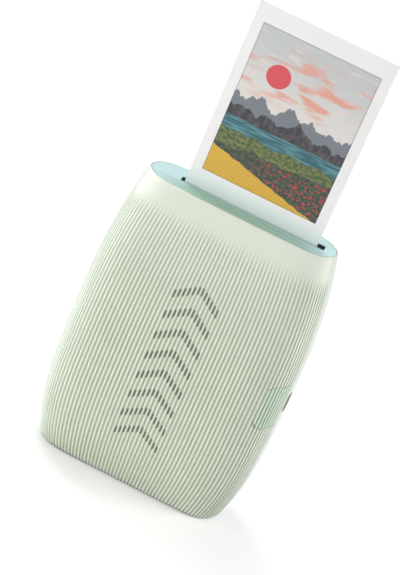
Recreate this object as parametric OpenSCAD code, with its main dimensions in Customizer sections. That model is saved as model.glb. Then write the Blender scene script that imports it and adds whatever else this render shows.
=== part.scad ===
// Compact instant photo printer with a ribbed, slightly waisted body that stands on its base.
// X is the width, -Y the front, +Z up. The origin is at the middle of the base. Millimetres.

/* [Body] */
// Room above the film pack for the print head, the rollers and the slot
top_room = 23; // [22:0.1:30]
// Room on each side of the film pack for the gears and the boards
side_room = 15; // [14.5:0.1:20]
// Room in front of and behind the film pack, together
depth_room = 26.1; // [25.5:0.1:32]
// How much narrower the top is than the widest height
top_taper_w = 13.4; // [10:0.1:14]
// How much shallower the top is than the widest height
top_taper_d = 19.6; // [15:0.1:20]
// How much narrower the base is than the widest height
base_taper_w = 11.6; // [8:0.1:12]
// How much shallower the base is than the widest height
base_taper_d = 14.3; // [10:0.1:14.6]
// Height of the widest section above the base
waist_z = 50.4; // [44:0.2:60]
// Wall of the shells
wall = 1.6; // [1.2:0.1:1.8]
// Thin rim of the shells round the top panel
rim_t = 0.5; // [0.4:0.05:0.8]
// Height of the rounding round the base edge
edge_h = 2; // [1:0.1:3]
// Gap between covers that meet or pass
cover_gap = 0.2; // [0.1:0.05:0.3]

/* [Top] */
// Thickness of the top panel
panel_t = 2.4; // [1.6:0.1:3]
// Room in the slot at the two edges of the print, together
slot_play = 4.6; // [3:0.1:4.7]
// Width of the print slot
slot_d = 3.6; // [2.8:0.1:3.8]
// Wall of the slot liner
liner_t = 0.35; // [0.25:0.05:0.4]

/* [Print] */
// Width of the print
print_w = 54; // [50:0.5:60]
// Length of the print
print_h = 86; // [76:0.5:96]
// Thickness of the print
print_t = 0.5; // [0.3:0.05:0.55]
// Offset of the print and the film pack from the middle of the body
print_x = 2.95; // [2.6:0.05:3.3]
// Distance of the print plane in front of the middle of the body
print_front = 0.9; // [0.8:0.05:1]
// Width of the picture
picture_w = 46; // [40:0.5:49]
// Height of the picture
picture_h = 62; // [50:0.5:66]
// White border above the picture
picture_top = 7; // [4:0.2:9]
// Length of print still held below the rollers' nip
print_tail = 1.1; // [0.8:0.1:2]

/* [Power key] */
// Height of the key's lower edge above the waist
key_above_waist = 1.75; // [0:0.05:4]
// Height of the key
key_h = 19.1; // [18:0.1:21]
// Reach of the key round the front of the corner
key_reach = 5.49; // [5:0.01:6]
// Depth of the key's switch behind the corner
key_depth = 15; // [14.8:0.05:15.4]
// Width of the key, measured along the same diagonal
key_w = 11.3; // [10:0.1:11.5]
// Radius of the key's two corners towards the front
key_corner = 3.5; // [1:0.1:4]
// Travel of the key
key_travel = 0.6; // [0.3:0.05:0.8]

/* [Film door] */
// Margin of the door's opening round the film pack
door_margin = 1.45; // [1.3:0.05:1.8]
// Reach of the door below its hinge axis
door_lip = 1.8; // [1.5:0.1:1.9]
// Height of the hinge axis
hinge_z = 9; // [8.8:0.1:9.4]
// Radius of the hinge pins
hinge_r = 1; // [0.8:0.05:1.1]
// Travel of the door latch
latch_travel = 3; // [2:0.5:3.5]

/* [Film pack] */
// Margin of the film pack at each side of the sheets
pack_side = 3; // [2.8:0.1:3.4]
// Margin of the film pack above and below the sheets, together
pack_ends = 11; // [10:0.5:14]
// Depth of the film pack
pack_d = 11.2; // [10.6:0.1:11.4]
// Wall of the film pack
pack_wall = 1.2; // [0.8:0.1:1.2]
// Depth of the stack of film sheets
stack_d = 5; // [3:0.5:6]
// Travel of the pick claw
claw_travel = 8; // [6:0.5:9]

/* [Frame] */
// Thickness of the chassis wall
chassis_t = 1.3; // [1:0.05:1.4]
// Thickness of the side plates and of the claw
plate_t = 1.2; // [1:0.05:1.3]
// Thickness of the circuit boards
board_t = 1; // [0.8:0.1:1.2]
// Radius of the screws that hold the shells and the frame
screw_r = 0.9; // [0.7:0.05:1]
// Radius of the screw heads
head_r = 1.7; // [1.5:0.05:1.8]
// Diameter of the motor
motor_d = 8; // [7:0.5:8]
// Length of the motor
motor_l = 16; // [12:0.5:20]
// Width of the battery
battery_w = 34; // [28:0.5:36]
// Height of the battery
battery_h = 50; // [40:0.5:52]
// Depth of the battery
battery_d = 5; // [4:0.5:6]

/* [Gears] */
// Module of the gears
gear_m = 0.4; // [0.38:0.01:0.4]
// Face width of the gears
gear_face = 1.3; // [1:0.1:1.3]
// Gap between neighbouring gear planes
gear_gap = 0.3; // [0.25:0.05:0.3]
// Depth of the rollers' axes below the top
roller_drop = 8; // [7.8:0.1:8.2]
// Radius of the roller journals
journal_r = 1.5; // [1.3:0.05:1.6]
// Radial running clearance of journals and posts
run_gap = 0.05; // [0.03:0.01:0.08]
// Clearance of the print between the rollers
nip_gap = 0.1; // [0.05:0.01:0.15]

/* [Hidden] */

$fn = 48;
// Small overlap that keeps cutters clear of coincident faces
eps = 0.01;
// Clearance between parts that sit in or beside each other
fit = 0.15;
// Exponents of the body's section: sides and faces
side_exp = 8.6;
face_exp = 1.6;
// Inward reach of the rounding round the base edge
edge_w = wall - 0.6;

// The film sheet sets the pack, and the pack with its room sets the body
floor_z = 5;
pack_w = print_w + 2 * pack_side;
pack_h = print_h + pack_ends;
pack_top = floor_z + pack_h;
body_w = pack_w + 2 * side_room;
body_d = pack_d + depth_room;
body_h = pack_top + top_room;
top_w = body_w - top_taper_w;
top_d = body_d - top_taper_d;
base_w = body_w - base_taper_w;
base_d = body_d - base_taper_d;
slot_w = print_w + slot_play;
roller_z = body_h - roller_drop;
key_z = waist_z + key_above_waist;
key_u = (body_w / 2 - body_d / 2 - key_reach) / sqrt(2);

// Half width and half depth of the body at height z
function blend(mid, end, u, power) = mid - (mid - end) * pow(u, power);
function half_w(z) = z > waist_z
    ? blend(body_w / 2, top_w / 2, (z - waist_z) / (body_h - waist_z), 3)
    : blend(body_w / 2, base_w / 2, (waist_z - z) / waist_z, 3);
function half_d(z) = z > waist_z
    ? blend(body_d / 2, top_d / 2, (z - waist_z) / (body_h - waist_z), 2)
    : blend(body_d / 2, base_d / 2, (waist_z - z) / waist_z, 2);
function edge_in(z) = z < edge_h ? edge_w * (1 - sqrt(1 - pow(1 - z / edge_h, 2))) : 0;
// Distance from the middle plane to the body's surface, moved inwards by off
function surface_y(x, z, off) = (half_d(z) - off)
    * pow(max(0, 1 - pow(min(1, abs(x) / (half_w(z) - off)), side_exp)), 1 / face_exp);

// Top of the body
rim_z = body_h - panel_t;
ledge_z = rim_z - (wall - rim_t);

// Print and slot
pack_x = print_x;
print_y = -print_front;
print_bottom = roller_z - print_tail;
slot_x = print_x + 0.65;
slot_y = print_y - 0.8 + slot_d / 2;

// Film pack, standing on the chassis floor
pack_y = -2.4;
pack_back = pack_y + pack_d;
pack_left = pack_x - pack_w / 2;
pack_right = pack_x + pack_w / 2;
door_half_w = pack_right + door_margin;
door_top = pack_top + 1;
door_z = hinge_z - door_lip;
hinge_y = pack_back + hinge_r + 1.1;

// Frame planes: the chassis wall stands in front of the pack
chassis_back = pack_y - 0.3;
chassis_front = chassis_back - chassis_t;
board_back = chassis_front - 0.7;
board_front = board_back - board_t;
plate_left_x = pack_left - 0.35;
plate_right_x = pack_right - 0.55;
flange_x = pack_left - 3.05;
base_t = 2.4;

// Gear train, from the rollers down to the motor
drive_teeth = 18;
sync_drive_teeth = 22;
sync_pinch_teeth = 16;
idler_small_teeth = 12;
idler_large_teeth = 30;
pinion_teeth = 10;
backlash = 0.07;
post_r = 1;
function pitch_r(n) = gear_m * n / 2;
function gear_axis(from, dist, angle) = from + dist * [cos(angle), sin(angle)];
// Both rollers turn at one surface speed, so their radii follow the sync gears
roller_span = pitch_r(sync_drive_teeth) + pitch_r(sync_pinch_teeth);
nip = print_t + nip_gap;
drive_r = (roller_span - nip) * sync_drive_teeth / (sync_drive_teeth + sync_pinch_teeth);
pinch_r = roller_span - nip - drive_r;
drive_at = [print_y + nip / 2 + drive_r, roller_z];
pinch_at = [print_y - nip / 2 - pinch_r, roller_z];
upper_angle = 246;
lower_angle = 241.6;
motor_angle = 229.1;
upper_at = gear_axis(drive_at, pitch_r(drive_teeth + idler_small_teeth), upper_angle);
lower_at = gear_axis(upper_at, pitch_r(idler_large_teeth + idler_small_teeth), lower_angle);
motor_at = gear_axis(lower_at, pitch_r(idler_large_teeth + pinion_teeth), motor_angle);
// Right face of each gear plane, counted outwards from the gear plate
function plane_x(i) = plate_left_x - plate_t - gear_gap - i * (gear_face + gear_gap);
gear_end = plane_x(3) - gear_face;

// Shell screws, as [x, z, half length of the bosses]
low_screw_z = 20;
high_screw_z = body_h - 21;
shell_screws_at = [for (side = [-1, 1]) each [
    [side * (half_w(low_screw_z) - 5.2), low_screw_z, 7],
    [side * (half_w(high_screw_z) - 4.5), high_screw_z, 5]]];
shell_boss_r = 2.4;
neck_z = pack_top - 11.2;
chassis_right = pack_right + 0.65;
frame_screws_at = [for (z = [floor_z + 9, neck_z - 1.6])
    each [[pack_left + (z < waist_z ? 2 : 4), z], [pack_right - 2, z]]];
board_left = flange_x + 0.1;
board_right = chassis_right - 0.1;
board_bottom = floor_z + 17;
board_top = pack_top - 16;
board_screws_at = [for (x = [board_left + 4, board_right - 3.5], z = [board_bottom + 4, board_top - 4])
    [x, z]];
board_screw_r = 0.6;

// USB port
usb_w = 8.94;
usb_h = 3.26;
usb_z = key_z + key_h / 2 - 0.2;
usb_y = board_back + usb_h / 2;
usb_end = half_w(usb_z) - wall;
usb_gap = 0.25;

// Power key and its switch, measured out through the corner
key_angle = -45;
switch_v = (body_w + body_d) / 2 / sqrt(2) - key_depth;
switch_u = [key_u + 0.75, key_u + 4.25];
switch_h = 1.6;
plunger_l = 0.4;
stem_v = switch_v + board_t + switch_h + plunger_l + key_travel + 0.1;

// Points and triangles of one half shell, a C-shaped section lofted over the height
section_n = 13;
function section_point(a, b, k, z) = let (u = sin(90 * k / section_n))
    [a * u, -b * pow(max(0, 1 - pow(abs(u), side_exp)), 1 / face_exp), z];
function shell_ring(z, inset, thick) = let (
    a = half_w(z), b = half_d(z), o = max(edge_in(z), inset))
    concat(
        [for (k = [-section_n:section_n]) section_point(a - o, b - o, k, z)],
        [for (k = [section_n:-1:-section_n]) section_point(a - thick, b - thick, k, z)]);
shell_levels = concat(
    [for (k = [0:3]) edge_h * (1 - cos(30 * k))],
    [for (k = [1:5]) edge_h + (waist_z - edge_h) * k / 5],
    [for (k = [1:8]) waist_z + (ledge_z - waist_z) * k / 8],
    [rim_z, body_h]);
ring_n = 4 * section_n + 2;

module half_shell(inset = 0) {
    points = [for (z = shell_levels)
        each shell_ring(z, inset, z > ledge_z + eps ? rim_t : wall)];
    last = len(shell_levels) - 1;
    sides = [for (j = [0:last - 1], i = [0:ring_n - 1])
        let (a = j * ring_n + i, b = j * ring_n + (i + 1) % ring_n)
        each [[a, a + ring_n, b + ring_n], [a, b + ring_n, b]]];
    // Each end is a strip of triangles between the outer and the inner curve
    ends = [for (i = [0:2 * section_n - 1]) let (j = ring_n - 1 - i)
        each [[i, i + 1, j - 1], [i, j - 1, j]]];
    top = last * ring_n;
    tops = [for (t = ends) [top + t[2], top + t[1], top + t[0]]];
    polyhedron(points, concat(sides, ends, tops));
}

// Cylinders and plates along the model's axes
module along_x(x, at, r, l) {
    translate([x, at[0], at[1]]) rotate([0, 90, 0]) cylinder(r = r, h = l);
}
module along_y(x, y, z, r, l) {
    translate([x, y, z]) rotate([-90, 0, 0]) cylinder(r = r, h = l);
}
module box(x0, x1, y0, y1, z0, z1) {
    translate([x0, y0, z0]) cube([x1 - x0, y1 - y0, z1 - z0]);
}
module plate_x(x, t, points) {
    translate([x, 0, 0]) rotate([90, 0, 90]) linear_extrude(t) polygon(points);
}
module rounded(w, d, r, h) {
    linear_extrude(h) union() {
        square([w - 2 * r, d], center = true);
        square([w, d - 2 * r], center = true);
        for (x = [-1, 1], y = [-1, 1])
            translate([x * (w / 2 - r), y * (d / 2 - r)]) circle(r = r);
    }
}
module stadium(w, d, h) {
    linear_extrude(h) union() {
        square([w - d, d], center = true);
        for (s = [-1, 1]) translate([s * (w - d) / 2, 0]) circle(d = d);
    }
}
// Frame of the power key: local X runs out through the corner, local Y along the skin
module key_frame() {
    rotate([0, 0, key_angle]) children();
}
function from_key(v, u) = [(u + v) / sqrt(2), (u - v) / sqrt(2)];

// Involute gear with its axis along X; the tooth faces are thinned for backlash
module gear(n, at, x, bore, phase) {
    rp = pitch_r(n);
    rb = rp * cos(25);
    ra = rp + 0.72 * gear_m;
    rr = rp - 1.2 * gear_m;
    inv25 = tan(25) - PI * 25 / 180;
    half = 90 / n + inv25 * 180 / PI - backlash / 2 / rp * 180 / PI;
    function flank(r) = let (q = acos(min(1, rb / r))) half - (tan(q) * 180 / PI - q);
    rs = max(rb, rr);
    radii = [for (k = [0:4]) rs + (ra - rs) * k / 4];
    root = (flank(rs) + 180 / n) / 2;
    tooth = concat(
        [[rr, -root]],
        [for (r = radii) [r, -flank(r)]],
        [for (k = [4:-1:0]) [radii[k], flank(radii[k])]],
        [[rr, root]]);
    translate([x - gear_face, at[0], at[1]]) rotate([90, 0, 90]) linear_extrude(gear_face)
        difference() {
            polygon([for (i = [0:n - 1], p = tooth) let (t = phase + 360 * i / n + p[1])
                [p[0] * cos(t), p[0] * sin(t)]]);
            circle(r = bore);
        }
}
// Phase of a gear meshing with a neighbour that has a tooth at angle phase_a
function mesh_phase(n_a, phase_a, n_b, angle) =
    angle + 180 + n_a / n_b * (angle - phase_a) - 180 / n_b;
upper_phase = mesh_phase(drive_teeth, 0, idler_small_teeth, upper_angle);
lower_phase = mesh_phase(idler_large_teeth, upper_phase, idler_small_teeth, lower_angle);
pinion_phase = mesh_phase(idler_large_teeth, lower_phase, pinion_teeth, motor_angle);
pinch_phase = mesh_phase(sync_drive_teeth, 0, sync_pinch_teeth, 180);

shell_color = [0.84, 0.88, 0.79];
panel_color = [0.78, 0.90, 0.92];
steel_color = [0.70, 0.71, 0.73];
black_color = [0.06, 0.06, 0.07];
gear_color = [0.93, 0.92, 0.88];

// Covers ---------------------------------------------------------------------

module key_box(gap) key_frame() translate([switch_v, 0, 0]) rotate([90, 0, 90])
    linear_extrude(body_w / 3) hull() {
        for (z = [key_z + key_corner, key_z + key_h - key_corner])
            translate([key_u + key_corner, z]) circle(r = key_corner + gap);
        translate([key_u + key_w / 2, key_z - gap])
            square([key_w / 2 + gap, key_h + 2 * gap]);
    }

module usb_shape(gap, x0, x1) {
    translate([x0, usb_y, usb_z]) rotate([90, 0, 90]) rotate([0, 0, 90])
        stadium(usb_w + 2 * gap, usb_h + 2 * gap, x1 - x0);
}

battery_x = -7;
battery_z = board_bottom + 6;
battery_back = board_front - 0.8;
battery_front = battery_back - battery_d;
module battery_ribs() {
    for (x = [battery_x - battery_w / 3, battery_x + battery_w / 3])
        box(x - wall / 2, x + wall / 2, -surface_y(x, battery_z + battery_h - 8, wall / 2),
            battery_front, battery_z + 8, battery_z + battery_h - 8);
}

module front_shell() color(shell_color) difference() {
    union() {
        half_shell();
        for (s = shell_screws_at) along_y(s[0], -s[2], s[1], shell_boss_r, s[2]);
        for (s = frame_screws_at) let (y = -surface_y(s[0], s[1], wall / 2))
            along_y(s[0], y, s[1], shell_boss_r, chassis_front - y);
        battery_ribs();
    }
    for (s = shell_screws_at) along_y(s[0], 1 - s[2], s[1], screw_r, s[2]);
    for (s = frame_screws_at) along_y(s[0], chassis_front - 5, s[1], screw_r, 6);
    key_box(fit);
    usb_shape(usb_gap, usb_end - 5, body_w);
}

bracket_x = door_half_w - 6.4;
bracket_w = 1.6;
knuckle_r = hinge_r + 0.9;
opening_z = hinge_z - 3.8;
module rear_shell() color(shell_color) difference() {
    union() {
        difference() {
            mirror([0, 1, 0]) half_shell();
            box(-door_half_w - cover_gap, door_half_w + cover_gap, 2, body_d,
                opening_z, door_top + cover_gap);
        }
        for (s = shell_screws_at) along_y(s[0], 0, s[1], shell_boss_r, s[2]);
        for (side = [-1, 1]) hinge_bracket(side * (bracket_x + bracket_w / 2));
    }
    for (s = shell_screws_at) {
        along_y(s[0], -1, s[1], screw_r, s[2] + 2);
        along_y(s[0], s[2] - 2, s[1], head_r + fit, body_d);
    }
    along_x(-body_w / 2, [hinge_y, hinge_z], hinge_r, body_w);
}
module hinge_bracket(x) {
    along_x(x - bracket_w / 2, [hinge_y, hinge_z], knuckle_r, bracket_w);
    box(x - bracket_w / 2, x + bracket_w / 2, hinge_y - knuckle_r, hinge_y + 1.1,
        base_t + 0.1, hinge_z);
}

// Outline of a cover that lies inside the body's section, as 2D points
function inset_outline(z, inset) = let (a = half_w(z) - inset, b = half_d(z) - inset, n = section_n)
    concat(
        [for (k = [-n:n - 1]) let (p = section_point(a, b, k, z)) [p[0], p[1]]],
        [for (k = [n:-1:1 - n]) let (p = section_point(a, b, k, z)) [p[0], -p[1]]]);

module top_panel() color(panel_color) difference() {
    translate([0, 0, rim_z]) linear_extrude(panel_t)
        polygon(inset_outline(body_h, rim_t + fit));
    translate([slot_x, slot_y, rim_z - 1]) rounded(slot_w, slot_d, slot_r, panel_t + 2);
}

liner_w = slot_w - 0.1;
liner_d = slot_d - 0.1;
liner_flange = 0.5;
liner_sunk = 0.3;
slot_r = 0.6;
liner_r = slot_r - liner_t;
module slot_liner() color(black_color) difference() {
    union() {
        translate([slot_x, slot_y, rim_z])
            rounded(liner_w, liner_d, slot_r, panel_t - liner_sunk);
        translate([slot_x, slot_y, rim_z - liner_flange])
            rounded(slot_w - 1.4, slot_d + 1.4, slot_r, liner_flange);
    }
    translate([slot_x, slot_y, rim_z - 1])
        rounded(liner_w - 2 * liner_t, liner_d - 2 * liner_t, liner_r, panel_t + 2);
}

module exit_seal() color(black_color)
    box(slot_x - liner_w / 2 + slot_r, slot_x + liner_w / 2 - slot_r,
        print_y + print_t / 2 + 0.2, slot_y + liner_d / 2 - liner_t, rim_z, body_h - 0.8);

base_screws_at = [[print_x - 23, -6], [print_x + 21, -6]];
chassis_floor = floor_z - chassis_t;
module base_panel() color(shell_color) difference() {
    union() {
        linear_extrude(base_t) polygon(inset_outline(0, wall + fit));
        for (x = [print_x - 24, print_x + 24]) box(x - 3, x + 3, -2, 6, base_t - eps, chassis_floor);
        for (s = base_screws_at) translate([s[0], s[1], 0]) cylinder(r = 2.2, h = chassis_floor);
    }
    for (s = base_screws_at) translate([s[0], s[1], -1]) {
        cylinder(r = screw_r, h = floor_z);
        cylinder(r = head_r + fit, h = 2.2);
    }
}

// Frame ----------------------------------------------------------------------

board_screw_l = board_t + 1.6;
flange_top = pack_top - 18;
pins_at = [[1.2, floor_z + 25], [1.2, flange_top - 14]];
chassis_top = pack_top + 9;
module chassis() color(steel_color) difference() {
    union() {
        box(flange_x, chassis_right, chassis_front, chassis_back, chassis_floor, neck_z);
        box(plate_left_x, plate_right_x, chassis_front, chassis_back, neck_z - eps, chassis_top);
        box(flange_x, chassis_right, chassis_front - 4.5, hinge_y - knuckle_r - 1.5,
            chassis_floor, floor_z);
        box(flange_x, flange_x + plate_t, chassis_back - eps, 6.5, chassis_floor, flange_top);
        for (s = board_screws_at)
            along_y(s[0], board_back, s[1], 1.8, chassis_front - board_back + eps);
        for (s = base_screws_at) translate([s[0], s[1], chassis_floor]) cylinder(r = 2.2, h = 5.5);
        for (p = pins_at) along_x(flange_x + eps, p, post_r, claw_x + plate_t - flange_x);
    }
    for (s = board_screws_at)
        along_y(s[0], board_front - 1, s[1], board_screw_r, board_screw_l + 1);
    for (s = base_screws_at) translate([s[0], s[1], chassis_floor - 1])
        cylinder(r = screw_r, h = 5.5);
    for (s = frame_screws_at) {
        along_y(s[0], chassis_front - 1, s[1], screw_r, chassis_t + 2);
        along_y(s[0], chassis_back - 0.9, s[1], head_r + 0.1, 2);
    }
}

// Side plate outline that follows the inside of the covers, as [y, z] points
function plate_edge(x, z) = surface_y(x, z, wall) - 0.3;
function plate_outline(x, z0, z1) = concat(
    [for (k = [0:6]) let (z = z0 + (z1 - z0) * k / 6) [-plate_edge(x, z), z]],
    [for (k = [6:-1:0]) let (z = z0 + (z1 - z0) * k / 6) [plate_edge(x, z), z]]);
bush_r = 2.3;
motor_shaft_r = 0.75;
module gear_plate() color(steel_color) difference() {
    plate_x(plate_left_x - plate_t, plate_t,
        plate_outline(plate_left_x - plate_t, neck_z + 1.2, rim_z));
    for (at = [drive_at, pinch_at]) along_x(-body_w / 2, at, bush_r, body_w / 2);
    for (at = [upper_at, lower_at]) along_x(-body_w / 2, at, post_r, body_w / 2);
    along_x(-body_w / 2, motor_at, motor_shaft_r + 0.4, body_w / 2);
}

ribbon_t = 0.2;
head_z = pack_top + 2.8;
head_h = 6.7;
window_z = head_z + 1.9;
module roller_plate() color(steel_color) difference() {
    plate_x(plate_right_x, plate_t,
        plate_outline(plate_right_x + plate_t, pack_top + 1, rim_z));
    for (at = [drive_at, pinch_at]) along_x(0, at, bush_r, body_w / 2);
    box(plate_right_x - 1, plate_right_x + plate_t + 1, 3.4, 5.6, window_z, window_z + 1.8);
}

module roller_bushes() color([0.75, 0.6, 0.3])
    for (x = [plate_left_x - plate_t, plate_right_x], at = [drive_at, pinch_at]) difference() {
        along_x(x, at, bush_r, plate_t);
        along_x(x - 1, at, journal_r + run_gap, plate_t + 2);
    }

module gear_posts() color(steel_color) {
    along_x(plane_x(2) - gear_face - 0.2, upper_at, post_r,
        plate_left_x - plane_x(2) + gear_face + 0.2);
    along_x(gear_end - 0.2, lower_at, post_r, plate_left_x - gear_end + 0.2);
}

head_front = print_y + print_t / 2 + 0.95;
head_back = head_front + 7.7;
module print_head() color([0.16, 0.16, 0.18])
    box(plate_left_x, plate_right_x, head_front, head_back, head_z, head_z + head_h);
module head_lens() color([0.75, 0.85, 0.9, 0.6])
    box(print_x - print_w / 2 - 0.5, print_x + print_w / 2 + 0.5,
        head_front - 0.4, head_front, head_z + 2.6, head_z + 4.2);

module head_ribbon() color([0.8, 0.5, 0.2]) {
    x = max(chassis_right, plate_right_x + plate_t) + 0.05;
    plate_x(x, ribbon_t, [
        [board_front, board_top - 8], [board_back, board_top - 8], [board_back, pack_top - 4],
        [5.3, window_z - 1], [5.3, window_z + 1.6], [3.7, window_z + 1.6],
        [3.7, window_z], [board_front, pack_top - 2.5]]);
    box(plate_right_x, x + eps, 3.7, 5.3, window_z + 0.3, window_z + 1.5);
}

// Electronics ----------------------------------------------------------------

module main_board() color([0.10, 0.36, 0.22]) difference() {
    union() {
        box(board_left, board_right, board_front, board_back, board_bottom, board_top);
        box(board_right - eps, usb_end - 3, board_front, board_back,
            usb_z - usb_w / 2 - 1.5, usb_z + usb_w / 2 + 1.5);
    }
    for (s = board_screws_at) along_y(s[0], board_front - 1, s[1], board_screw_r, board_t + 2);
}

// Chips as [x, z, width, height], tall enough to carry the battery
chips_at = [for (c = [[-13, 6, 8, 8], [7, 10, 10, 10], [-7, 38, 9, 6], [11, 42, 7, 7], [27, 8, 7, 5]])
    [battery_x + c[0], battery_z + c[1], c[2], c[3]]];
module board_chips() color(black_color)
    for (c = chips_at) box(c[0] - c[2] / 2, c[0] + c[2] / 2, battery_back, board_front,
        c[1] - c[3] / 2, c[1] + c[3] / 2);

module battery() color([0.82, 0.83, 0.85])
    box(battery_x - battery_w / 2, battery_x + battery_w / 2, battery_front, battery_back,
        battery_z, battery_z + battery_h);

lead_r = 0.45;
module battery_leads() color([0.7, 0.1, 0.1]) {
    y = battery_back - battery_d / 2;
    z = battery_z + battery_h;
    for (x = [battery_x - 3, battery_x]) {
        translate([x, y, z]) cylinder(r = lead_r, h = 3);
        translate([x, y, z + 3]) sphere(r = lead_r);
        along_y(x, y, z + 3, lead_r, board_front - y);
    }
}

module usb_port() color(steel_color) {
    difference() {
        usb_shape(0, chassis_right + 0.7, usb_end);
        usb_shape(-0.3, chassis_right + 1.7, usb_end + 1);
    }
    box(chassis_right + 1.6, usb_end - 1, usb_y - 0.35, usb_y + 0.35, usb_z - 3.3, usb_z + 3.3);
}

switch_z = key_z + key_h / 2;
module key_bracket() color(black_color)
    translate([0, 0, switch_z - 6]) linear_extrude(12) polygon([
        from_key(switch_v, switch_u[0]),
        from_key(switch_v, switch_v + board_front * sqrt(2)),
        from_key(switch_u[0] - board_front * sqrt(2), switch_u[0])]);
module switch_board() color([0.10, 0.36, 0.22]) key_frame()
    translate([switch_v, switch_u[0], switch_z - 7])
        cube([board_t, switch_v + board_front * sqrt(2) - switch_u[0] - 1, 14]);
module power_switch() color(black_color) key_frame() {
    v = switch_v + board_t;
    translate([v, switch_u[1] - 1.6, switch_z - 1.6]) cube([switch_h, 3.2, 3.2]);
    translate([v + switch_h, switch_u[1], switch_z]) rotate([0, 90, 0])
        cylinder(r = 0.7, h = plunger_l);
}

module motor() color(steel_color) difference() {
    along_x(plate_left_x, motor_at, motor_d / 2, motor_l);
    along_x(plate_left_x - 1, motor_at, motor_shaft_r + run_gap, 4);
}

// Film pack ------------------------------------------------------------------

hook_y = [print_y - 0.2, print_y + 0.15];
claw_x = plate_left_x - plate_t;
claw_z = floor_z + 1.4;
hook_h = 0.8;
module film_pack() color([0.12, 0.12, 0.13]) difference() {
    box(pack_left, pack_right, pack_y, pack_back, floor_z, pack_top);
    box(pack_left + pack_wall, pack_right - pack_wall, pack_y + pack_wall, pack_back - pack_wall,
        floor_z + pack_wall, pack_top - pack_wall);
    box(print_x - print_w / 2 - 0.6, print_x + print_w / 2 + 0.6,
        print_y - print_t / 2 - 0.15, print_y + print_t / 2 + 0.15, pack_top - 5, pack_top + 1);
    box(pack_left - 1, pack_left + pack_wall + eps, hook_y[0] - 0.15, hook_y[1] + 0.15,
        floor_z + pack_wall, claw_z + hook_h + claw_travel + 0.6);
}
module film_stack() color([0.9, 0.9, 0.88])
    box(print_x - print_w / 2, print_x + print_w / 2,
        print_y + print_t / 2 + 0.15, print_y + print_t / 2 + 0.15 + stack_d,
        floor_z + pack_wall, floor_z + pack_wall + print_h);

module pick_claw() color(gear_color) {
    arm = [-1.5, 3.6];
    difference() {
        box(claw_x, claw_x + plate_t, arm[0], arm[1], claw_z, flange_top - 4);
        for (p = pins_at) hull() for (dz = [-claw_travel - 0.2, 0.2])
            along_x(claw_x - 1, p + [0, dz], post_r + 0.1, plate_t + 2);
    }
    box(claw_x + plate_t - eps, print_x - print_w / 2 + 2, hook_y[0], hook_y[1],
        claw_z, claw_z + hook_h);
}

// Fasteners ------------------------------------------------------------------

module shell_screws() color(steel_color) for (s = shell_screws_at) {
    along_y(s[0], 1 - s[2], s[1], screw_r, 2 * s[2] - 3);
    along_y(s[0], s[2] - 2, s[1], head_r, 1.3);
}
module chassis_screws() color(steel_color) {
    for (s = frame_screws_at) {
        along_y(s[0], chassis_front - 4.5, s[1], screw_r, 4.5 + chassis_t - 0.5);
        along_y(s[0], chassis_back - 0.9, s[1], head_r, 0.85);
    }
    for (s = base_screws_at) translate([s[0], s[1], 0.5]) {
        cylinder(r = head_r, h = 0.7);
        cylinder(r = screw_r, h = 7);
    }
}
module board_screws() color(steel_color) for (s = board_screws_at) {
    along_y(s[0], board_front - 0.7, s[1], 2.2 * board_screw_r, 0.7);
    along_y(s[0], board_front - 0.1, s[1], board_screw_r, board_screw_l + 0.1);
}
ear_x = bracket_x + bracket_w + 0.3;
ear_w = 3.1;
module hinge_pins() color(steel_color) for (side = [-1, 1])
    along_x(side > 0 ? bracket_x : -ear_x - ear_w, [hinge_y, hinge_z], hinge_r,
        ear_x + ear_w - bracket_x);

// Film door ------------------------------------------------------------------

latch_half_w = 7;
latch_y = [pack_back + 1.4, pack_back + 2.5];
latch_z = [door_top - 13, door_top - 0.5];
thumb_z = [door_top - 11, door_top - 7];
view_half_w = 3;
pack_middle = floor_z + pack_h / 2;
view_z = [pack_middle - 13.5, pack_middle + 8.5];
module rear_skin(half_w, z0, z1) {
    intersection() {
        mirror([0, 1, 0]) half_shell();
        box(-half_w, half_w, 2, body_d, z0, z1);
    }
}
module film_door() color(shell_color) difference() {
    union() {
        rear_skin(door_half_w, door_z, door_top);
        for (side = [-1, 1]) {
            along_x(side > 0 ? ear_x : -ear_x - ear_w, [hinge_y, hinge_z], knuckle_r, ear_w);
            scale([side, 1, 1]) latch_rail();
        }
    }
    for (side = [-1, 1]) box(side * (bracket_x + bracket_w / 2) - bracket_w / 2 - 0.25,
        side * (bracket_x + bracket_w / 2) + bracket_w / 2 + 0.25, 2, body_d, 0, hinge_z + 2.6);
    along_x(-body_w / 2, [hinge_y, hinge_z], hinge_r + run_gap, body_w);
    box(-view_half_w, view_half_w, 2, body_d, view_z[0], view_z[1]);
    box(-3.2, 3.2, 2, body_d, thumb_z[0] - fit, thumb_z[1] + latch_travel + fit);
}
module latch_rail() {
    skin_y = surface_y(latch_half_w + 1, door_top - 1, wall / 2);
    box(latch_half_w + fit, latch_half_w + 1.6, latch_y[0] - 0.8, skin_y,
        latch_z[0] - 4, door_top - 1);
    box(latch_half_w - 0.8, latch_half_w + 1.6, latch_y[0] - 0.8, latch_y[0] - fit,
        latch_z[0] - 4, door_top - 1);
}
module door_latch() color(black_color) {
    box(-latch_half_w, latch_half_w, latch_y[0], latch_y[1], latch_z[0], latch_z[1]);
    box(-3, 3, latch_y[1] - eps, surface_y(3, thumb_z[1] + latch_travel, 0) - 0.2,
        thumb_z[0], thumb_z[1]);
}
module pack_window() color([0.5, 0.4, 0.2, 0.6])
    rear_skin(view_half_w - 0.05, view_z[0] + 0.05, view_z[1] - 0.05);

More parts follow.
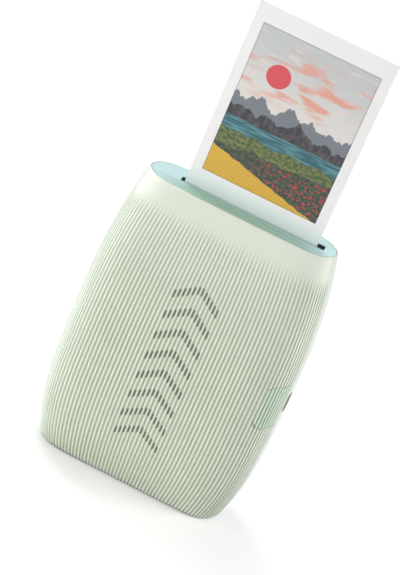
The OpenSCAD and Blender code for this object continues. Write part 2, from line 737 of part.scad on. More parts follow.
leaf_t = 0.4;
function leaf_foot(z) = surface_y(17, z, wall) - 0.05;
module pack_springs() color(steel_color) for (side = [-1, 1]) {
    x0 = side * 14 - 3;
    belly = pack_back + 0.3 + leaf_t;
    line = [for (p = [[-26, 1], [-22, 1], [-7, 0], [7, 0], [22, 1], [26, 1]])
        [p[1] == 1 ? leaf_foot(pack_middle + p[0]) : belly, pack_middle + p[0]]];
    plate_x(x0, 6, concat(line, [for (k = [5:-1:0]) line[k] - [leaf_t, 0]]));
}

// Power key ------------------------------------------------------------------

module power_button() color([0.72, 0.83, 0.74]) {
    intersection() {
        half_shell();
        key_box(0);
    }
    key_frame() translate([stem_v, switch_u[1], switch_z]) rotate([0, 90, 0])
        cylinder(r = 1.2, h = corner_reach(switch_v, body_w, 20) - stem_v);
}
// Distance out along the diagonal to the middle of the key's skin, found by halving
function corner_reach(near, far, steps) = let (
    mid = (near + far) / 2, p = from_key(mid, switch_u[1]))
    steps == 0 ? mid
    : -p[1] < surface_y(p[0], switch_z, wall / 2) ? corner_reach(mid, far, steps - 1)
    : corner_reach(near, mid, steps - 1);

// Print and rollers ----------------------------------------------------------

picture_z = print_bottom + print_h - picture_top - picture_h;
module print_sheet() color([0.97, 0.96, 0.95]) difference() {
    box(print_x - print_w / 2, print_x + print_w / 2,
        print_y - print_t / 2, print_y + print_t / 2, print_bottom, print_bottom + print_h);
    picture_box(0, 1);
}
module picture_box(gap, out) {
    box(print_x - picture_w / 2 + gap, print_x + picture_w / 2 - gap,
        print_y - print_t / 2 - out, print_y - print_t / 2 + 0.1,
        picture_z + gap, picture_z + picture_h - gap);
}
module print_picture() color([0.75, 0.6, 0.55]) picture_box(0, 0);

roller_half = print_w / 2 + 1.45;
module roller(at, r) difference() {
    along_x(print_x - roller_half, at, r, 2 * roller_half);
    along_x(-body_w, at, journal_r, 2 * body_w);
}
module shaft(at, left) {
    along_x(left, at, journal_r, plate_right_x + plate_t + 0.4 - left);
}
module drive_shaft() color(steel_color) shaft(drive_at, plane_x(1) - gear_face);
module pinch_shaft() color(steel_color) shaft(pinch_at, plane_x(0) - gear_face);
module drive_roller() color([0.2, 0.2, 0.21]) roller(drive_at, drive_r);
module pinch_roller() color([0.2, 0.2, 0.21]) roller(pinch_at, pinch_r);
module drive_gear() color(gear_color) gear(drive_teeth, drive_at, plane_x(1), journal_r, 0);
module drive_sync_gear() color(gear_color)
    gear(sync_drive_teeth, drive_at, plane_x(0), journal_r, 0);
module pinch_sync_gear() color(gear_color)
    gear(sync_pinch_teeth, pinch_at, plane_x(0), journal_r, pinch_phase);

// Compound idler: the small wheel runs in gear plane i, the large one outside it
module idler(at, i, phase) {
    bore = post_r + run_gap;
    gear(idler_small_teeth, at, plane_x(i), bore, phase);
    gear(idler_large_teeth, at, plane_x(i + 1), bore, phase);
    difference() {
        along_x(plane_x(i) - gear_face - gear_gap - eps, at, 1.7, gear_gap + 2 * eps);
        along_x(-body_w, at, bore, body_w);
    }
}
module upper_idler() color(gear_color) idler(upper_at, 1, upper_phase);
module lower_idler() color(gear_color) idler(lower_at, 2, lower_phase);
module motor_pinion() color(steel_color) {
    gear(pinion_teeth, motor_at, plane_x(3), motor_shaft_r, pinion_phase);
    along_x(gear_end, motor_at, motor_shaft_r, plate_left_x + 2 - gear_end);
}

front_shell();
rear_shell();
top_panel();
slot_liner();
exit_seal();
base_panel();
chassis();
gear_plate();
roller_plate();
roller_bushes();
gear_posts();
print_head();
head_lens();
head_ribbon();
main_board();
board_chips();
battery();
battery_leads();
usb_port();
key_bracket();
switch_board();
power_switch();
motor();
film_pack();
film_stack();
shell_screws();
chassis_screws();
board_screws();
hinge_pins();
film_door();
pack_window();
pack_springs();
door_latch();
power_button();
print_sheet();
print_picture();
drive_shaft();
drive_roller();
drive_gear();
drive_sync_gear();
pinch_shaft();
pinch_roller();
pinch_sync_gear();
upper_idler();
lower_idler();
motor_pinion();
pick_claw();
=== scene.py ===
"""Compact photo printer: ribbed pale green shells, aqua top, and a print standing in the slot."""
import bmesh
import bpy
import numpy as np
from math import cos, pi, radians, sin
from mathutils import Matrix, Vector


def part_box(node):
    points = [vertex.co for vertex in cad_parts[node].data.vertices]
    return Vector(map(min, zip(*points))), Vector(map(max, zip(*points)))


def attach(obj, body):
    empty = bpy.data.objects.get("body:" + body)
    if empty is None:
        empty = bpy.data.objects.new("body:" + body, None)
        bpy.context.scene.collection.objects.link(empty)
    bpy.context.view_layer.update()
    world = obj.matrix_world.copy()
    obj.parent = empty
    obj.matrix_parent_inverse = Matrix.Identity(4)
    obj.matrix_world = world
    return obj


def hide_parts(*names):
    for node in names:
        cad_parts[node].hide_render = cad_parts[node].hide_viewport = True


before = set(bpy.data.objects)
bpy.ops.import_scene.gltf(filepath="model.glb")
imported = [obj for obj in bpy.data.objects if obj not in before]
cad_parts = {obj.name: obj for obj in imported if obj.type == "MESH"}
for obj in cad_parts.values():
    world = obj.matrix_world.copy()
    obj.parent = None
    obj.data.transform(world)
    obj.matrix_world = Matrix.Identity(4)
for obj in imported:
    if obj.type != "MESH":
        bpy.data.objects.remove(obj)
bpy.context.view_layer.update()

# Sizes are in millimetres, and MM turns them into the frame's metres
MM = 0.001
# Edges sharper than this, in degrees, stay crisp
CREASE = 50
# Points round a circle, round each end of the USB slit and round a key's corner
ROUND, SLIT_END, KEY_ARC = 40, 14, 12

# Body: height, waist, and half sizes at the waist, the top and the base
BODY_H, WAIST_Z = 125.0, 50.4
HALF_W, TOP_HALF_W, BASE_HALF_W = 45.0, 38.3, 39.2
HALF_D, TOP_HALF_D, BASE_HALF_D = 18.65, 8.85, 11.5
# Powers of the section across x and y, and of the curves of width and depth over the height
SIDE_EXP, FACE_EXP = 8.6, 1.6
WIDTH_POWER, DEPTH_POWER = 3, 2
# Wall and rim thickness, depth of the ring below the rim's rounding, and panel thickness
WALL, RIM, RIM_LIP, PANEL_T = 1.6, 0.5, 0.8, 2.4
# The base edge is rounded over EDGE_H in height and EDGE_IN inwards, the rim by TOP_ROUND
EDGE_H, EDGE_IN, TOP_ROUND = 2.0, 1.0, 0.22
# Gaps round the latch, round the door and round the key
FIT, COVER_GAP, KEY_GAP = 0.15, 0.2, 0.34

# Ribs run up every cover and fade into a smooth band under the rim
RIBS_PER_HALF = 70
RIB_DEPTH, GROOVE_POWER = 0.44, 1.25
# Points across one rib, along the inner wall, and rings below and above the fade
RIB_SAMPLES, INNER_POINTS, LOW_RINGS, HIGH_RINGS = 8, 61, 52, 18
# Steps in degrees round the base edge and the rim
BASE_STEP, RIM_STEP = 11.25, 22.5
# Points of the fine curve along which the section's arc length is measured
SECTION_POINTS = 4001
FADE_LOW, FADE_HIGH = 110.0, 119.0
# Ribs from the parting edge over which they die away
SIDE_FADE = 3.0, 5.0
# The grooves get shallower from this height up to the fade, by this share
SHALLOW_LOW, SHALLOWER = 55.0, 0.56

# Power key on the corner's diagonal: start and width along it, foot, height, corner radius
KEY_U, KEY_W = 14.75, 11.3
KEY_Z, KEY_H, KEY_CORNER = 52.15, 19.1, 3.5
USB_Y, USB_Z, USB_W, USB_D = -3.07, 61.5, 9.44, 3.76
# Shell screws: x, z and the reach of the boss; radii of their holes and bosses
SCREWS = ((38.53, 20.0, 7.0), (38.0, 104.0, 5.0))
SCREW_HOLE_R, BOSS_R = 1.85, 2.4
# How far the cutters run, along the key's diagonal, to the right, and to the rear
KEY_RUN, SLIT_RUN, REAR_RUN = (30.0, 60.0), (38.0, 60.0), (2.0, 40.0)
# Film door, its opening, its hinge and its window
DOOR_HALF_W, DOOR_Z, DOOR_TOP, OPENING_Z = 34.4, 7.2, 103.0, 5.2
HINGE_Y, HINGE_Z, HINGE_R, KNUCKLE_R = 10.9, 9.0, 1.0, 1.9
BRACKET_X, BRACKET_W, BRACKET_LOW, BRACKET_PAST = 28.0, 1.6, 2.5, (1.1, 1.0)
BRACKET_ROOM, BRACKET_ROOM_UP = 0.25, 2.6
EAR_X, EAR_W, EAR_SLACK = 29.9, 3.1, 0.05
VIEW_HALF_W, VIEW_LOW, VIEW_HIGH = 3.0, 40.0, 62.0
# Latch: rails and lips that hold it, and the opening for the thumb
LATCH_Y, RAIL_BACK, RAIL_LOW, RAIL_HIGH = 10.2, 12.4, 86.0, 102.0
RAIL_X, RAIL_OUT, RAIL_T, LIP_X = 7.15, 8.6, 0.8, 6.2
THUMB_LOW, THUMB_HIGH, THUMB_HALF_W, LATCH_TRAVEL = 92.0, 96.0, 3.2, 3.0
# Pads and grip lines on the back of the film pack, which start TRIM_IN inside its wall
SPRING_X, PAD_HALF_W, PAD_HALF_H, PAD_PROUD = 14.0, 5.0, 32.0, 0.2
GRIP_LINES, GRIP_PITCH, GRIP_W, GRIP_TOP = 6, 1.7, 0.8, 6.0
GRIP_HALF_W, GRIP_PROUD, TRIM_IN = 15.0, 0.4, 0.2
# Rounding of blocks, lips, pads, grip lines and the ends of tubes
BLOCK_ROUND, LIP_ROUND, PAD_ROUND, GRIP_ROUND, TUBE_ROUND = 0.25, 0.15, 0.1, 0.15, 0.12

# Shell tones: plain, the painted shade in the grooves, and the painted highlight on the narrow ribs
# next to the sides
SHELL_TONES = (229, 236, 216), (176, 188, 166), (240, 247, 233)
# Key tones in the same order: plain, painted shade in the grooves, painted highlight on the narrow
# ribs
KEY_TONES = (221, 235, 214), (160, 184, 160), (230, 245, 226)
# Pale tone of the smooth band under the rim, carried down the upper front as painted top light, and
# the painted grey sheen of the sides
SMOOTH_BAND_AND_TOP_LIGHT, SIDE_SHEEN_COLOR = (238, 244, 229), (214, 219, 212)
# Painted shade on the rounded foot: heights over which it fades out, and its tone
FOOT_LINE, FOOT_SHADE_COLOR = (0.5, 1.3), (112, 120, 106)
# Heights over which the smooth band's tone and the painted top light come in, and ribs over which
# the sides' painted highlight and painted sheen come in
TOP_LIGHT_RISE = FADE_LOW - 24.0, FADE_HIGH - 2.0
NARROW_RIBS, SIDE_RIBS = (6.0, 17.0), (3.5, 7.0)
# Painted shade in the grooves between wide ribs, and how far narrow ones go on to a darker painted
# shade
WIDE_SHADE, NARROW_SHADE, NARROW_DARKER = 0.74, 0.5, 0.78
# Share of the painted foot shade; step and share of the random mottling
FOOT_SHADE_SHARE, MOTTLE_STEP, MOTTLE_SHARE = 0.8, (0.3, 0.8), 0.10
# Half width of a groove's line, in ribs from its middle, for the shade and for the dashes
SHADE_LINE, DASH_LINE = (0.04, 0.34), (0.16, 0.36)
# The chevron band stands in the grooves of the front, from rib to rib
BAND_MIDDLE, BAND_HALF = 34.5, 6.2
BAND_LOW, BAND_HIGH = 22.0, 96.0
BAND_PITCH, BAND_STEP = 9.25, 1.05
# Start and end of a dash, as shares of the pitch, its tone and how strongly it covers
DASH_START, DASH_END = (0.04, 0.12), (0.40, 0.48)
DASH_COLOR, DASH_SHARE = (86, 102, 84), 0.80

# Moulded surfaces, with scales per metre and the grain's depth in metres
DRIFT_SCALE, DRIFT_SHARE, PLASTIC_DARKER = 90.0, 0.3, 0.86
GLOSS_SCALE, GLOSS_SPREAD = 400.0, 0.14
GRAIN_SCALE, GRAIN_DEPTH = 1800.0, 0.00002
# Top panel: plain and drifting tone, and the painted shadow of the print, greened as a painted
# reflection of the shells, on the lip in front of it
AQUA, AQUA_DEEP, AQUA_ROUGH = (194, 225, 227), (179, 208, 210), 0.34
PRINT_SHADOW_COLOR, PRINT_SHADOW_SHARE = (152, 190, 168), 0.85
# The print stands in the front half of the slot
SLOT_Y = 0.1
PRINT_SHADOW_DEPTH, PRINT_SHADOW_WIDTH = (SLOT_Y - 3.4, SLOT_Y - 1.4), (22.0, 34.0)

# Copper tracks and rows on the circuit boards
TRACKS_PER_M, ROWS_PER_M = 900.0, 620.0

# Film sheets: white edge and seam on the dark back; the picture's place and size
BACK_EDGE, BACK_SEAM, BACK_SKIN = 1.2, 13.5, 0.08
PICTURE_LOW, PICTURE_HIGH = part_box("print_picture")
PRINT_X = (PICTURE_LOW.x + PICTURE_HIGH.x) / 2 / MM
PICTURE_W, PICTURE_H = ((PICTURE_HIGH[i] - PICTURE_LOW[i]) / MM for i in (0, 2))
PICTURE_Z = PICTURE_LOW.z / MM
# Landscape, in millimetres from the picture's lower left corner
SKY_FADE, SKY = (30.0, 60.0), ((236, 232, 226), (206, 209, 210))
# Clouds and wisps: noise scales, shift and detail, soft step, heights of their lower and
# upper fade, share and tone
HAZES = (
    ((0.055, 0.22, 3.0, 5.0), (0.50, 0.62), (33.0, 40.0), (52.0, 60.0), 0.85, (240, 158, 134)),
    ((0.09, 0.5, 9.0, 6.0), (0.56, 0.66), (30.0, 44.0), (62.0, 63.0), 0.6, (247, 226, 216)),
)
SUN_X, SUN_Z, SUN_R, SUN_BLUR, SUN = 12.5, 45.5, 4.6, 0.2, (228, 74, 88)
# Far ridge, near ridge, lake, shore and bank. Each has a height line (noise scale, shift,
# detail, rise, height, slope) and a texture (noise scales, shift, detail; soft step; tones)
LAYERS = (
    ((0.16, 4.0, 5.0, 5.0, 34.0, 0.0),
     ((0.5, 0.3, 2.0, 5.0), (0.42, 0.62), (122, 128, 138), (122, 128, 138))),
    ((0.13, 21.0, 5.0, 5.5, 29.5, 0.0),
     ((0.5, 0.3, 2.0, 5.0), (0.42, 0.62), (40, 40, 48), (78, 74, 80))),
    ((0.12, 0.0, 3.0, 0.0, 24.5, 0.0),
     ((0.10, 1.6, 5.0, 2.0), (0.45, 0.60), (24, 92, 104), (88, 150, 158))),
    ((0.12, 33.0, 3.0, 1.4, 19.5, 0.0),
     ((0.6, 0.9, 1.0, 5.0), (0.38, 0.62), (52, 82, 44), (120, 128, 62))),
    ((0.09, 41.0, 3.0, 1.8, 13.0, 0.05),
     ((0.8, 0.8, 6.0, 4.0), (0.40, 0.60), (38, 46, 42), (70, 84, 56))),
)
# Blooms on the bank: scales, edge, depth under the bank's line, where they come in, tone
BLOOM_SCALES, BLOOM_EDGE, BLOOM_UNDER = (0.62, 0.8), (0.26, 0.36), 0.6
BLOOM_FROM, BLOOM = (12.0, 26.0), (204, 44, 56)
# Field in front: height line as above, furrows' scales and edge, how strongly they show
FIELD_LINE, CROP = (0.2, 50.0, 3.0, 0.5, 11.5, -0.26), ((236, 190, 52), (192, 136, 30))
FURROW_SCALES, FURROW_EDGE, FURROW_SHARE = (0.55, 0.9), (0.28, 0.42), 0.8
# Shadow line round the picture: its width, where it is fully dark, its tone and share
EDGE_SHADOW_IN, EDGE_SHADOW_OUT, EDGE_SHADOW_COLOR, EDGE_SHADOW_SHARE = 0.55, 0.1, (70, 72, 76), 0.45

# Room: light of the world and the floor, and lamps with place, size and power
WORLD_LIGHT, FLOOR_REACH, FLOOR_GREY = 0.16, 6.0, 0.82
# The floor's lift to white beside the printer, and the distances over which it grows to 1
FLOOR_LIFT, LIFT_BESIDE, LIFT_REACH = 1.0, 0.28, (0.10, 1.4)
LAMP_AIM = 0.0, 0.0, 0.09
LAMPS = (
    ("back_left", (-0.80, 0.60, 0.79), 0.50, 1.8),
    ("back_top", (-0.30, 0.25, 0.99), 0.40, 4.2),
    ("low_left", (-0.95, -0.45, 0.17), 0.50, 2.2),
    ("key", (-0.60, -0.25, 0.44), 0.45, 1.55),
    ("right", (0.97, 0.22, 0.29), 0.40, 5.2),
    ("top_right", (0.60, 0.00, 0.69), 0.40, 2.3),
    ("front_left", (-0.70, -0.95, 0.17), 0.50, 4.65),
)
# Camera: azimuth, elevation and roll in degrees, distance, lens and the point it looks at
CAMERA_TURN = 5.886, 29.219, 23.649
CAMERA_DISTANCE, CAMERA_LENS, CAMERA_TARGET = 0.801375, 134.09, (-0.003306, 0.0, 0.087279)


# ---------------------------------------------------------------- camera

def make_camera():
    """Long lens above the printer's front, rolled so that the printer leans to the right."""
    az, el, roll = (radians(angle) for angle in CAMERA_TURN)
    back = Vector((sin(az) * cos(el), -cos(az) * cos(el), sin(el)))
    right = Vector((cos(az), sin(az), 0.0))
    up = back.cross(right)
    cam_x = cos(roll) * right + sin(roll) * up
    cam_y = -sin(roll) * right + cos(roll) * up
    data = bpy.data.cameras.new("camera")
    data.lens, data.sensor_width, data.sensor_fit = CAMERA_LENS, 36.0, "AUTO"
    data.clip_start, data.clip_end = 0.05, 20.0
    camera = bpy.data.objects.new("camera", data)
    place = Vector(CAMERA_TARGET) + CAMERA_DISTANCE * back
    camera.matrix_world = Matrix.Translation(place) @ Matrix(
        (cam_x, cam_y, back)).transposed().to_4x4()
    bpy.context.scene.collection.objects.link(camera)
    bpy.context.scene.camera = camera


# ---------------------------------------------------------------- node arithmetic

class Value:
    """A socket that takes part in arithmetic: each operator adds one Math or Vector Math node."""

    def __init__(self, finish, socket):
        self.finish, self.socket = finish, socket

    def _math(self, operation, *others):
        return self.finish.node("ShaderNodeMath", (self, *others), operation=operation)

    def __add__(self, other): return self._math("ADD", other)
    def __sub__(self, other): return self._math("SUBTRACT", other)
    def __rsub__(self, other): return self._math("MULTIPLY_ADD", -1.0, other)
    def __mul__(self, other): return self._math("MULTIPLY", other)
    def __truediv__(self, other): return self._math("DIVIDE", other)
    def __gt__(self, other): return self._math("GREATER_THAN", other)
    def __lt__(self, other): return self._math("LESS_THAN", other)
    def fract(self): return self._math("FRACT")
    def floor(self): return self._math("FLOOR")
    def abs(self): return self._math("ABSOLUTE")
    def sqrt(self): return self._math("SQRT")
    def power(self, other): return self._math("POWER", other)

    def soft(self, low, high):
        """Smooth step from 0 at low to 1 at high."""
        return self.finish.node("ShaderNodeMapRange", (self, low, high, 0.0, 1.0),
                                interpolation_type="SMOOTHSTEP")


class Finish:
    """One material on a Principled surface; constants go straight onto its sockets."""

    def __init__(self, name, color, roughness, **constants):
        self.material = bpy.data.materials.new(name)
        self.material.use_nodes = True
        self.tree = self.material.node_tree
        self.shader = self.tree.nodes["Principled BSDF"]
        self.material.diffuse_color = (*linear(color), 1.0)
        self.set("Base Color", (*linear(color), 1.0))
        self.set("Roughness", roughness)
        for key, value in constants.items():
            self.set(key.replace("_", " ").title().replace("Ior", "IOR"), value)

    def node(self, kind, inputs=(), output=0, **settings):
        """Add a node; inputs are numbers, colours or Values, in socket order or by name."""
        node = self.tree.nodes.new(kind)
        for key, value in settings.items():
            setattr(node, key, value)
        pairs = inputs.items() if isinstance(inputs, dict) else enumerate(inputs)
        for key, value in pairs:
            if isinstance(value, Value):
                self.tree.links.new(value.socket, node.inputs[key])
            elif value is not None:
                node.inputs[key].default_value = value
        return Value(self, node.outputs[output])

    def set(self, name, value):
        socket = self.shader.inputs[name]
        if isinstance(value, Value):
            self.tree.links.new(value.socket, socket)
        else:
            socket.default_value = value

    def place(self):
        """Position on the object, in metres."""
        return self.node("ShaderNodeTexCoord", output="Object")

    def axes(self, vector):
        """The three parts of a vector."""
        split = self.node("ShaderNodeSeparateXYZ", (vector,)).socket.node
        return [Value(self, split.outputs[i]) for i in range(3)]

    def noise(self, vector, scale, detail=2.0, rough=0.5):
        return self.node("ShaderNodeTexNoise", {"Vector": vector, "Scale": scale,
                                                "Detail": detail, "Roughness": rough})

    def mix(self, factor, low, high):
        """Blend two colours by a factor."""
        def paint(c):
            return c if isinstance(c, Value) else (*linear(c), 1.0)
        node = self.tree.nodes.new("ShaderNodeMix")
        node.data_type = "RGBA"
        for socket, value in zip((node.inputs[0], node.inputs[6], node.inputs[7]),
                                 (factor, paint(low), paint(high))):
            if isinstance(value, Value):
                self.tree.links.new(value.socket, socket)
            else:
                socket.default_value = value
        return Value(self, node.outputs[2])

    def bump(self, height, distance, strength=1.0):
        self.set("Normal", self.node("ShaderNodeBump", {
            "Height": height, "Distance": distance, "Strength": strength}))


def linear(color):
    """Screen colour from 0 to 255 to the linear values that shaders take."""
    c = np.array(color, float) / 255.0
    return tuple(float(v) for v in np.where(c <= 0.04045, c / 12.92, ((c + 0.055) / 1.055) ** 2.4))


# ---------------------------------------------------------------- meshes

def new_piece(name, points, faces, finish, body, uv=None, smooth=True):
    """Mesh object from points in millimetres; uv holds one pair per point."""
    mesh = bpy.data.meshes.new(name)
    mesh.from_pydata((np.asarray(points, float) * MM).tolist(), [], faces)
    if uv is not None:
        loops = np.empty(len(mesh.loops), int)
        mesh.loops.foreach_get("vertex_index", loops)
        mesh.uv_layers.new(name="ribs").data.foreach_set("uv", np.asarray(uv, float)[loops].ravel())
    mesh.validate()
    piece = bpy.data.objects.new(name, mesh)
    bpy.context.scene.collection.objects.link(piece)
    mesh.materials.append(finish.material)
    if smooth:
        mesh.shade_smooth()
        mesh.set_sharp_from_angle(angle=radians(CREASE))
    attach(piece, body)
    return piece


def grid_faces(rows, columns, closed=False):
    """Quads between neighbouring rows of points; closed joins the last column to the first."""
    i = np.arange(rows - 1)[:, None] * columns
    j = np.arange(columns if closed else columns - 1)[None, :]
    k = (j + 1) % columns
    quads = np.stack([i + j, i + k, i + columns + k, i + columns + j], axis=-1)
    return quads.reshape(-1, 4).tolist()


def carve(piece, cutters, operation="DIFFERENCE"):
    """Cut closed cutters out of a piece, or keep what they share with it, and drop them."""
    for cutter in cutters:
        modifier = piece.modifiers.new("carve", "BOOLEAN")
        modifier.object, modifier.operation, modifier.solver = cutter, operation, "MANIFOLD"
    bpy.context.view_layer.update()
    scene = bpy.context.evaluated_depsgraph_get()
    mesh = bpy.data.meshes.new_from_object(piece.evaluated_get(scene), depsgraph=scene,
                                           preserve_all_data_layers=True)
    old = piece.data
    piece.modifiers.clear()
    piece.data = mesh
    bpy.data.meshes.remove(old)
    for cutter in cutters:
        bpy.data.objects.remove(cutter)
    mesh.set_sharp_from_angle(angle=radians(CREASE))
    return piece


def prism(outline, low, high, axis="z"):
    """Closed straight prism over a 2D outline; axis is the direction it runs in."""
    outline = np.asarray(outline, float)
    n = len(outline)
    order = {"x": (2, 0, 1), "y": (0, 2, 1), "z": (0, 1, 2)}[axis]
    ends = [np.column_stack([outline, np.full(n, h)])[:, order] for h in (low, high)]
    points = np.vstack(ends)
    faces = grid_faces(2, n, closed=True) + [list(range(n))[::-1], list(range(n, 2 * n))]
    return points, faces


def cutter(outline, low, high, axis="z"):
    """Prism used only to carve another piece."""
    points, faces = prism(outline, low, high, axis)
    mesh = bpy.data.meshes.new("cutter")
    mesh.from_pydata((points * MM).tolist(), [], faces)
    tool = bpy.data.objects.new("cutter", mesh)
    bpy.context.scene.collection.objects.link(tool)
    bpy.context.view_layer.objects.active = tool
    mesh.validate()
    fix_normals(mesh)
    return tool


def fix_normals(mesh):
    """Turn every face of a closed mesh outwards."""
    work = bmesh.new()
    work.from_mesh(mesh)
    bmesh.ops.recalc_face_normals(work, faces=work.faces)
    work.to_mesh(mesh)
    work.free()


def rectangle(x0, x1, y0, y1):
    return [(x0, y0), (x1, y0), (x1, y1), (x0, y1)]


def circle(x, y, r):
    """Points round a circle."""
    t = np.linspace(0, 2 * pi, ROUND, endpoint=False)
    return np.column_stack([x + r * np.cos(t), y + r * np.sin(t)])


def stadium(x, y, width, depth):
    """Outline of two half circles joined by straight sides; the long way runs along x."""
    t = np.linspace(-pi / 2, pi / 2, SLIT_END)
    r, reach = depth / 2, (width - depth) / 2
    right = np.column_stack([x + reach + r * np.cos(t), y + r * np.sin(t)])
    left = np.column_stack([x - reach - r * np.cos(t), y - r * np.sin(t)])
    return np.vstack([right, left])


# ---------------------------------------------------------------- the ribbed covers

def half_sizes(z):
    """Half width and half depth of the body at height z: a power curve either side of the waist."""
    z = np.asarray(z, float)
    above = np.clip((z - WAIST_Z) / (BODY_H - WAIST_Z), 0, 1)
    below = np.clip((WAIST_Z - z) / WAIST_Z, 0, 1)
    return [mid - (mid - top) * above ** power - (mid - base) * below ** power
            for mid, top, base, power in ((HALF_W, TOP_HALF_W, BASE_HALF_W, WIDTH_POWER),
                                          (HALF_D, TOP_HALF_D, BASE_HALF_D, DEPTH_POWER))]


def edge_inset(z):
    """How far the base edge and the top rim are rounded inwards: quarter ellipses."""
    base = np.clip(1 - z / EDGE_H, 0, 1)
    top = np.clip(1 - (BODY_H - z) / TOP_ROUND, 0, 1)
    return EDGE_IN * (1 - np.sqrt(1 - base ** 2)) + TOP_ROUND * (1 - np.sqrt(1 - top ** 2))


def section_curve(count):
    """Unit section from left to right at equal steps along the waist's outline.

    The section is |x|^SIDE_EXP + |y|^FACE_EXP = 1. Its points are evenly spaced at the waist.
    """
    t = np.linspace(-90, 90, SECTION_POINTS)
    x = np.sin(np.radians(t))
    y = np.maximum(0, 1 - np.abs(x) ** SIDE_EXP) ** (1 / FACE_EXP)
    length = np.concatenate([[0], np.cumsum(np.hypot(np.diff(x * HALF_W), np.diff(y * HALF_D)))])
    share = np.linspace(0, 1, count)
    return share, np.interp(share, length / length[-1], x), np.interp(share, length / length[-1], y)


def smooth(value, low, high):
    t = np.clip((value - low) / (high - low), 0, 1)
    return t * t * (3 - 2 * t)


def groove(ribs):
    """Depth of the groove pattern, 0 on a rib's crest and 1 in the middle of a groove."""
    wave = 0.5 + 0.5 * np.cos(2 * pi * ribs)
    return wave ** GROOVE_POWER


def ribbed_half(name, side, finish, body):
    """Closed half shell: rings of an outer ribbed curve and a plain inner curve, lofted upwards.

    A ring's outer points are the unit section scaled to the body's half sizes, moved inwards
    along the outline's normal by the groove depth, which fades out under the rim.
    side is -1 for the front half and 1 for the rear half.
    """
    columns = RIBS_PER_HALF * RIB_SAMPLES + 1
    share, ux, uy = section_curve(columns)
    ledge = BODY_H - PANEL_T - (WALL - RIM)
    z = np.concatenate([
        EDGE_H * (1 - np.cos(np.radians(np.arange(0, 90, BASE_STEP)))),
        np.linspace(EDGE_H, FADE_LOW, LOW_RINGS)[:-1],
        np.linspace(FADE_LOW, ledge, HIGH_RINGS),
        [BODY_H - PANEL_T, BODY_H - RIM_LIP],
        BODY_H - TOP_ROUND * (1 - np.sin(np.radians(np.arange(0, 91, RIM_STEP))))])
    a, b = (v[:, None] for v in half_sizes(z))
    inset = edge_inset(z)[:, None]
    x, y = (a - inset) * ux, (b - inset) * uy
    nx = np.sign(ux) * SIDE_EXP * np.abs(ux) ** (SIDE_EXP - 1) / a
    ny = FACE_EXP * np.abs(uy) ** (FACE_EXP - 1) / b
    size = np.hypot(nx, ny)
    reach = 1 - SHALLOWER * smooth(z, SHALLOW_LOW, FADE_LOW)
    reach = reach * (1 - smooth(z, FADE_LOW, FADE_HIGH))
    depth = RIB_DEPTH * groove(share * RIBS_PER_HALF) * reach[:, None]
    # the ribs die away towards the parting edges, where the halves meet on a smooth side
    depth = depth * smooth(np.minimum(share, 1 - share) * RIBS_PER_HALF, *SIDE_FADE)
    x, y = x - depth * nx / size, y - depth * ny / size
    _, ix, iy = section_curve(INNER_POINTS)
    thick = np.where(z > ledge + 0.01, RIM, WALL)[:, None]
    inner_x = ((a - thick) * ix)[:, ::-1]
    inner_y = ((b - thick) * iy)[:, ::-1]
    ring_x, ring_y = np.hstack([x, inner_x]), side * np.hstack([y, inner_y])
    ring_z = np.broadcast_to(z[:, None], ring_x.shape)
    points = np.stack([ring_x, ring_y, ring_z], axis=-1)
    rows, n = ring_x.shape
    u = np.concatenate([share * RIBS_PER_HALF, np.full(INNER_POINTS, 0.5)])
    v = np.where(np.arange(n) < columns, 1.0, 0.0) * ring_z / BODY_H
    uv = np.stack([np.broadcast_to(u, ring_x.shape), v], axis=-1).reshape(-1, 2)
    faces = grid_faces(rows, n, closed=True) + [list(range(n))[::-1],
                                                list(range((rows - 1) * n, rows * n))]
    piece = new_piece(name, points.reshape(-1, 3), faces, finish, body, uv)
    fix_normals(piece.data)
    piece.data.shade_smooth()
    piece.data.set_sharp_from_angle(angle=radians(CREASE))
    return piece


# ---------------------------------------------------------------- finishes

